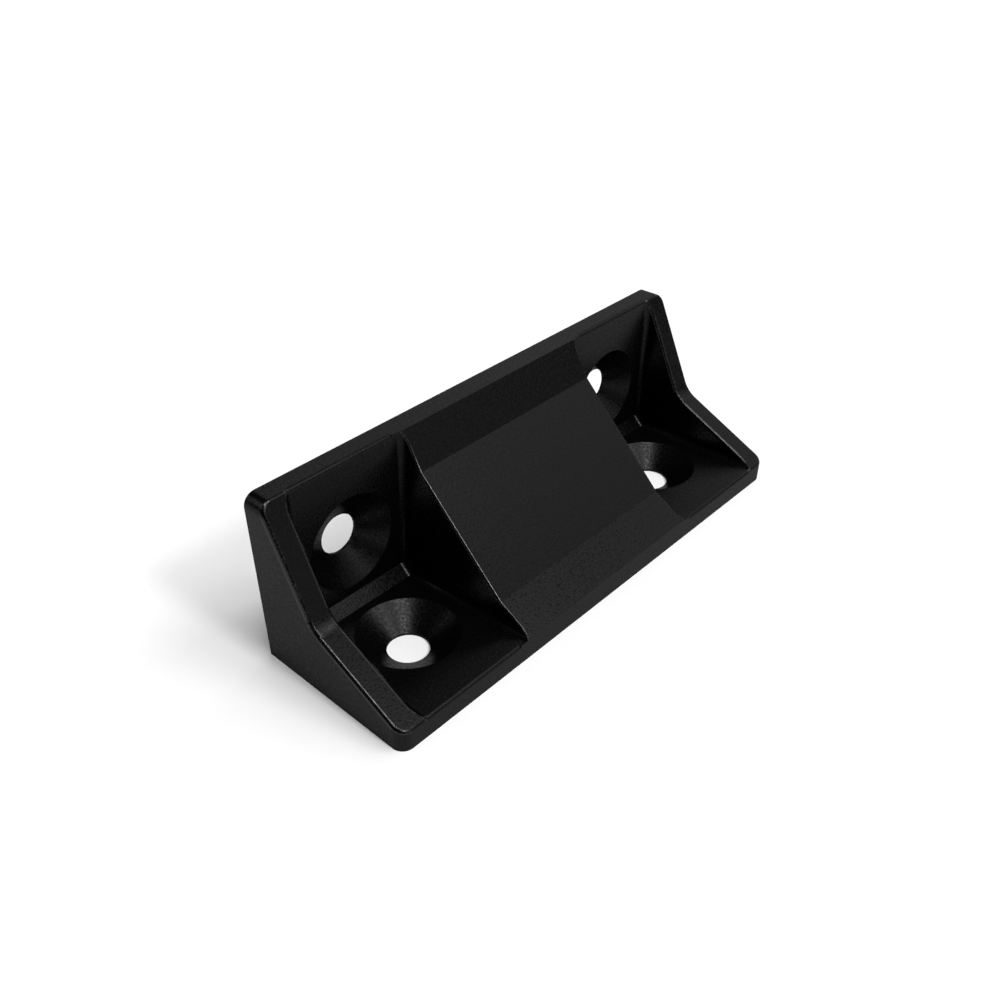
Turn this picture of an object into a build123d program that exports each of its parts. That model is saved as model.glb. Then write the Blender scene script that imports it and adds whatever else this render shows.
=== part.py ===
"""Die-cast inner corner bracket for slotted aluminium framing.

One casting: two flanges at right angles, a solid block across the middle of
the corner and an end wall at each end, which leave two open pockets with a
countersunk bolt hole in each flange.

Frame: X runs along the corner, the back flange stands in the plane Y = 0 and
faces +Y, the base flange lies on Z = 0 and reaches towards -Y.  The origin is
halfway along the line where the two mounting faces meet.  Millimetres.
"""
from build123d import *
from math import cos, radians, sin, sqrt, tan
import os

# ---- overall ---------------------------------------------------------------
length = 120.0            # along the corner
leg = 37.5                # from the corner line to either flange tip
flange = 4.5              # thickness of the flanges in the pockets
plan_radius = 2.5         # the four flange corners, seen square to the flange

# ---- end walls -------------------------------------------------------------
wall = 5.6                # thickness along the top of each end wall
knee = 15.3               # where the two straight rims would meet, from each face
knee_radius = 7.0         # rounding of the rim at that knee
end_draft = 3.0           # degrees, the outer faces lean in towards the corner line
rim_edge = 0.8            # edges of the rims

# ---- middle block ----------------------------------------------------------
block = 52.0              # length along its front face
block_lip = 4.8           # height of the block at the flange tips
bend_near = 9.3           # bend of the front face, from the nearer mounting face
bend_far = 29.9           # the same bend, from the other mounting face
block_edge = 0.5          # edges at the two sides of the front face

# ---- pockets ---------------------------------------------------------------
draft = 2.0               # degrees, pocket sides lean open towards the mouth
corner_web = 2.2          # leg of the 45 degree face along the inner corner
pocket_fillet = 1.5       # pocket sides to flanges

# ---- bolt holes ------------------------------------------------------------
hole_spacing = 80.0       # along the corner
hole_from_face = 18.75    # hole axis from the other mounting face
hole = 8.5                # clearance for an M8 screw
hole_land = 0.5           # straight part left below the countersink
countersink = 20.4        # mouth of the countersink, in the pocket floor

out = Vector(0, -1, 0)    # along the base flange
up = Vector(0, 0, 1)      # along the back flange
slope = (out + up) / sqrt(2)
clear = 2 * leg           # well outside the part
touch = 1e-3              # two things this close count as touching


def across(*points):
    """Closed section from (distance out, height) pairs, square to X."""
    return Plane.YZ * make_face(Polyline(*[(-o, u) for o, u in points], close=True))


def run(section, start, end):
    """Section run along X from start to end."""
    return extrude(Pos(start, 0, 0) * section, end - start, dir=(1, 0, 0))


def leaning(x, at, side, angle):
    """Plane through X = x at (at, at), opening by angle to the mouth; side +1 faces +X."""
    normal = Vector(side * cos(radians(angle)), 0, 0) + slope * sin(radians(angle))
    return Plane(origin=Vector(x, 0, 0) + (out + up) * at, z_dir=normal)


def open_faces(part):
    """Faces that look out of the corner, such as the rims and the block's front."""
    return part.faces().filter_by(lambda f: f.normal_at().dot(slope) > cos(radians(30)))


def side_edges(part, faces, nearest, farthest):
    """Edges of those faces that run across X, between two distances from X = 0."""
    return part.edges().filter_by(
        lambda e: abs(e.tangent_at(0.5).X) < 0.9
        and nearest < abs((e @ 0.5).X) < farthest
        and any(f.distance_to(e @ 0.5) < touch for f in faces))


# pocket at the -X end: all above the flanges and the 45 degree face between them
wall_face = length / 2 - wall
front = (bend_near + bend_far) / 2
web = flange + corner_web
pocket = run(across((web, flange), (clear, flange), (clear, clear), (flange, clear),
                    (flange, web)), -length, 0)
pocket = split(pocket, leaning(-wall_face, knee, 1, draft), keep=Keep.TOP)
pocket = split(pocket, leaning(-block / 2, front, -1, draft), keep=Keep.TOP)
floors = pocket.faces().filter_by(lambda f: f.normal_at().dot(slope) < 0)
bottom_edges = pocket.edges().filter_by(
    lambda e: abs(e.tangent_at(0.5).X) < 0.9
    and any(f.distance_to(e @ 0.5) < touch for f in floors)
    and max(-(e @ 0.5).Y, (e @ 0.5).Z) < clear - touch)
pocket = fillet(bottom_edges, pocket_fillet)

# end wall and the flanges of the pocket, run on to the foot of the block
block_foot = block / 2 + (out + up).length * front * tan(radians(draft)) + pocket_fillet
rim = across((0, 0), (leg, 0), (leg, flange), (knee, knee), (flange, leg), (0, leg))
rim = fillet(rim.vertices().sort_by_distance((out + up) * knee)[0], knee_radius)
longest = (leg + flange - plan_radius) / 2     # the length is measured at the rim's ends
end = split(run(rim, -length, -block_foot),
            leaning(-length / 2, longest, 1, end_draft), keep=Keep.TOP)
corners = end.edges().filter_by(
    lambda e: abs(e.tangent_at(0.5).X) < 0.9
    and abs((e @ 0.5).X) > wall_face
    and max(-(e @ 0.5).Y, (e @ 0.5).Z) > leg - touch)
end = fillet(corners, plan_radius)
rims = open_faces(end)
end = fillet(side_edges(end, rims, wall_face, length), rim_edge)
end = end - pocket
end = fillet(side_edges(end, rims, block_foot, length / 2 - wall / 2), rim_edge)

# middle block, between the pockets
middle = run(across((0, 0), (leg, 0), (leg, block_lip), (bend_far, bend_near),
                    (bend_near, bend_far), (block_lip, leg), (0, leg)),
             -block_foot, block_foot)
fronts = open_faces(middle)
middle = middle - pocket - mirror(pocket, about=Plane.YZ)
middle = fillet(side_edges(middle, fronts, 0, block_foot - touch), block_edge)

bracket = middle + end + mirror(end, about=Plane.YZ)

# a bolt hole through each flange in each pocket, countersunk from inside
diagonal = Plane(origin=(0, 0, 0), z_dir=out - up)
sink_depth = flange - hole_land
overrun = 1.0             # the cutters run past both faces
flare = (countersink - hole) / 2 / sink_depth * overrun
cutter = (Cylinder(hole / 2, 2 * flange)
          + Pos(0, 0, (hole_land + flange + overrun) / 2)
          * Cone(hole / 2, countersink / 2 + flare, sink_depth + overrun))
for side in (-1, 1):
    base_cutter = Pos(side * hole_spacing / 2, -hole_from_face, 0) * cutter
    bracket = bracket - base_cutter - mirror(base_cutter, about=diagonal)

bracket.label = "bracket"
os.makedirs("parts", exist_ok=True)
export_step(bracket, "parts/bracket.step")
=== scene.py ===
"""Die-cast inner corner bracket in sandy black powder coat, standing on its base flange."""
import bmesh
import bpy
from math import cos, radians, sin
from mathutils import Matrix, Vector


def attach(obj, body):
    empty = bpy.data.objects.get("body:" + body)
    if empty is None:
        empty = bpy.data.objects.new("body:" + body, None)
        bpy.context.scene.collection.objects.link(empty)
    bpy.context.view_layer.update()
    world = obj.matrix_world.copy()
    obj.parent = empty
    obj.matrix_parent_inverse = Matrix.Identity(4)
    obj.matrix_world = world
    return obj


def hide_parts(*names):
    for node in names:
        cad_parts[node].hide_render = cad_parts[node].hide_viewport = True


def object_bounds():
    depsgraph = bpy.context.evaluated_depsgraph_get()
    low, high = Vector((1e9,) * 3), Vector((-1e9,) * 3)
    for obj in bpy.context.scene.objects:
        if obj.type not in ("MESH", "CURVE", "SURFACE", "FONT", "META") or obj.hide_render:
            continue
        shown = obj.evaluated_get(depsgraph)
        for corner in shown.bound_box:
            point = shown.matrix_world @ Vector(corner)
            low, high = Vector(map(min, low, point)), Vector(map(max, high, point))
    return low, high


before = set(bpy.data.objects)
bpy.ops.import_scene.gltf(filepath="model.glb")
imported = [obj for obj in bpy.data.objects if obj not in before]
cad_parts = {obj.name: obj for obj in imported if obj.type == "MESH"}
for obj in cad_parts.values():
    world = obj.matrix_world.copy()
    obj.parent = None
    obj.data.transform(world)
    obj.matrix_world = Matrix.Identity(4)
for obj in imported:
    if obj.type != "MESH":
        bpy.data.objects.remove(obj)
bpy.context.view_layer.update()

# ---- the casting -----------------------------------------------------------
# One die casting in aluminium alloy, with a flange along each side of the corner.
# Black polyester powder is baked on all over, to a fine sandy skin with a low satin
# sheen.  Here the edges that run across the corner get more, to catch the lamps.
mm = 0.001
same_point = 0.001 * mm
same_plane = radians(0.2)
crease = radians(24)                     # edges sharper than this stay crisp
broad = 1.5 * mm                         # least width of a face that shades flat
tight = 1.5 * mm                         # largest radius of an edge that shines more
lengthwise = 0.05                        # most slant along X of an edge that runs along X


def width(face):
    """Mean width of a face along its longest side."""
    return face.calc_area() / max(edge.calc_length() for edge in face.edges)


def corner_normal(face, corner):
    """Broad faces shade flat, and narrow ones blend into whatever they join smoothly."""
    if width(face) > broad:
        return face.normal
    joined = [other for other in corner.vert.link_faces
              if other.normal.angle(face.normal) < crease]
    return sum((other.normal * other.calc_area() for other in joined), Vector()).normalized()


def rounds_an_edge(face):
    """Whether a face is in the small rounding of an edge that runs across the corner."""
    turns = [(edge.calc_face_angle_signed(0), edge.calc_length()) for edge in face.edges]
    turn = sum(angle * length for angle, length in turns if abs(angle) < crease)
    curvature = turn / (2 * face.calc_area())
    return abs(face.normal.x) > lengthwise and curvature > 1 / tight


def casting_mesh(node):
    """A merged copy of the node's mesh, with its shading and its rounded edges marked."""
    mesh = node.data.copy()
    mesh.name = "bracket_casting"
    work = bmesh.new()
    work.from_mesh(mesh)
    bmesh.ops.remove_doubles(work, verts=work.verts, dist=same_point)
    bmesh.ops.dissolve_limit(work, angle_limit=same_plane, verts=work.verts, edges=work.edges)
    normals = [corner_normal(face, corner) for face in work.faces for corner in face.loops]
    rounded = [float(rounds_an_edge(face)) for face in work.faces]
    for face in work.faces:
        face.smooth = True
    for edge in work.edges:
        edge.smooth = edge.calc_face_angle(0) < crease
    work.to_mesh(mesh)
    work.free()
    mesh.normals_split_custom_set(normals)
    mesh.attributes.new("outer_edge", "FLOAT", "FACE").data.foreach_set("value", rounded)
    return mesh


casting = bpy.data.objects.new("bracket_casting", casting_mesh(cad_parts["bracket"]))
bpy.context.scene.collection.objects.link(casting)


class Socket:
    """A shader socket that takes part in Python arithmetic."""

    def __init__(self, tree, link=None):
        self.tree = tree
        self.link = link

    def node(self, kind, settings=None, output=0, **inputs):
        """Any node: its settings first, then the values or links of its sockets."""
        made = self.tree.nodes.new(kind)
        for name, value in (settings or {}).items():
            setattr(made, name, value)
        for name, value in inputs.items():
            key = int(name[1:]) if name[1:].isdigit() else name.replace("_", " ")
            if isinstance(value, Socket):
                self.tree.links.new(value.link, made.inputs[key])
            else:
                made.inputs[key].default_value = value
        return Socket(self.tree, made.outputs[output] if made.outputs else None)

    def maths(self, operation, *values):
        """A Math node on two values."""
        inputs = {f"i{number}": value for number, value in enumerate(values)}
        return self.node("ShaderNodeMath", {"operation": operation}, **inputs)

    def __add__(self, other):
        return self.maths("ADD", self, other)

    def __radd__(self, other):
        return self.maths("ADD", other, self)

    def __sub__(self, other):
        return self.maths("SUBTRACT", self, other)

    def __rsub__(self, other):
        return self.maths("SUBTRACT", other, self)

    def __mul__(self, other):
        return self.maths("MULTIPLY", self, other)

    def __rmul__(self, other):
        return self.maths("MULTIPLY", other, self)


black = (0.0010, 0.0010, 0.00098, 1)
grain = 0.5 * mm                         # across one grain of the sandy skin
grain_height = 0.032 * mm
other_grains = 3.0                       # sets the grains of the sheen apart from the bumps
satin = 0.31                             # mean roughness of the skin
satin_range = 0.45                       # how far it goes from grain to grain
edge_polish = 0.08                       # how much less rough the rounded edges are
sheen = 0.25                             # share of the surface that shines
edge_sheen = 0.65                        # the same on the rounded edges

coat = bpy.data.materials.new("sandy_powder_coat")
coat.use_nodes = True
coat.node_tree.nodes.clear()
place = Socket(coat.node_tree).node("ShaderNodeTexCoord", output="Object")
edges = place.node("ShaderNodeAttribute", {"attribute_name": "outer_edge"}, output="Fac")
sand = place.node("ShaderNodeTexNoise", Vector=place, Scale=1 / grain, Detail=1.5,
                  Roughness=0.5)
bumps = place.node("ShaderNodeBump", Height=sand, Strength=1.0, Distance=grain_height)
speckle = place.node("ShaderNodeTexNoise", {"noise_dimensions": "4D"}, Vector=place,
                     W=other_grains, Scale=1 / grain, Detail=0.0)
roughness = satin + (speckle - 0.5) * satin_range - edges * edge_polish
shiny = place.node("ShaderNodeBsdfPrincipled", Base_Color=black, Roughness=roughness,
                   Metallic=0.0, Specular_IOR_Level=0.5, Normal=bumps)
dull = place.node("ShaderNodeBsdfPrincipled", Base_Color=black, Roughness=1.0,
                  Specular_IOR_Level=0.0)
share = sheen + edges * (edge_sheen - sheen)
skin = place.node("ShaderNodeMixShader", i0=share, i1=dull, i2=shiny)
skin.node("ShaderNodeOutputMaterial", Surface=skin)
casting.data.materials.clear()
casting.data.materials.append(coat)
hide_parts("bracket")
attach(casting, "root")

# ---- the studio ------------------------------------------------------------
# A matt white table with soft lamps round it, in a dark room that looks white
# in the view, and the camera above the near end of the casting.  The lamps put
# about 1.24 times the plain level on the table, which keeps it pure white.
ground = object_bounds()[0][2]
table_reach = 3.0
table = bpy.data.meshes.new("table")
table.from_pydata([(x * table_reach, y * table_reach, ground) for x, y in
                   ((-1, -1), (1, -1), (1, 1), (-1, 1))], [], [(0, 1, 2, 3)])
table_top = bpy.data.objects.new("table", table)
bpy.context.scene.collection.objects.link(table_top)
paper = bpy.data.materials.new("white_paper")
paper.use_nodes = True
paper.node_tree.nodes.clear()
matt = Socket(paper.node_tree).node("ShaderNodeBsdfDiffuse", Color=(0.9, 0.9, 0.9, 1))
matt.node("ShaderNodeOutputMaterial", Surface=matt)
table.materials.append(paper)

white = (1, 1, 1, 1)
dimness = 0.02
world = bpy.data.worlds.new("studio")
world.use_nodes = True
world.node_tree.nodes.clear()
dark_room = Socket(world.node_tree).node("ShaderNodeBackground", Color=white, Strength=dimness)
backdrop = dark_room.node("ShaderNodeBackground", Color=white, Strength=1.0)
in_view = dark_room.node("ShaderNodeLightPath", output="Is Camera Ray")
room = dark_room.node("ShaderNodeMixShader", i0=in_view, i1=dark_room, i2=backdrop)
room.node("ShaderNodeOutputWorld", Surface=room)
bpy.context.scene.world = world


def direction(azimuth, elevation):
    """Unit vector that way from the casting, in degrees.  Azimuth 0 is -Y, and 90 is +X."""
    a, e = radians(azimuth), radians(elevation)
    return Vector((sin(a) * cos(e), -cos(a) * cos(e), sin(e)))


def lamp(name, azimuth, elevation, spread, strength):
    """A soft lamp far off in that direction, spread over that many degrees of the sky."""
    light = bpy.data.lights.new(name, "SUN")
    light.angle = radians(spread)
    light.energy = strength
    holder = bpy.data.objects.new(name, light)
    bpy.context.scene.collection.objects.link(holder)
    holder.rotation_euler = direction(azimuth, elevation).to_track_quat("Z", "Y").to_euler()


lamp("top_lamp", -20, 74, 20, 1.22)
lamp("key_lamp", 35, 54, 26, 1.04)
lamp("high_right_lamp", 90, 54, 26, 0.22)
lamp("front_lamp", 5, 32, 28, 0.38)
lamp("small_front_lamp", 2, 43, 10, 1.00)
lamp("front_right_lamp", 55, 32, 28, 0.25)
lamp("right_lamp", 80, 32, 28, 0.22)
lamp("back_right_lamp", 105, 32, 28, 0.16)
lamp("back_lamp", 140, 32, 28, 0.23)
lamp("back_left_lamp", -145, 32, 28, 0.39)
lamp("low_front_lamp", 30, 10, 34, 0.16)
lamp("low_back_lamp", 120, 10, 34, 0.30)

back = direction(-48.863, 34.551)
roll = radians(0.680)
right = Vector((0, 0, 1)).cross(back).normalized()
upward = back.cross(right)
across = right * cos(roll) + upward * sin(roll)
upright = upward * cos(roll) - right * sin(roll)
aim = Vector((0, -15.25 * mm, 15.25 * mm))
shift_across = -6.343 * mm
shift_upright = -1.707 * mm
distance = 234.84 * mm
spot = aim + across * shift_across + upright * shift_upright + back * distance
view = bpy.data.cameras.new("camera")
view.lens = 40.32
view.sensor_width = 36
view.clip_start = 10 * mm
camera = bpy.data.objects.new("camera", view)
bpy.context.scene.collection.objects.link(camera)
turn = Matrix((across, upright, back)).transposed().to_4x4()
camera.matrix_world = Matrix.Translation(spot) @ turn
bpy.context.scene.camera = camera
bpy.context.scene.view_settings.view_transform = "Standard"
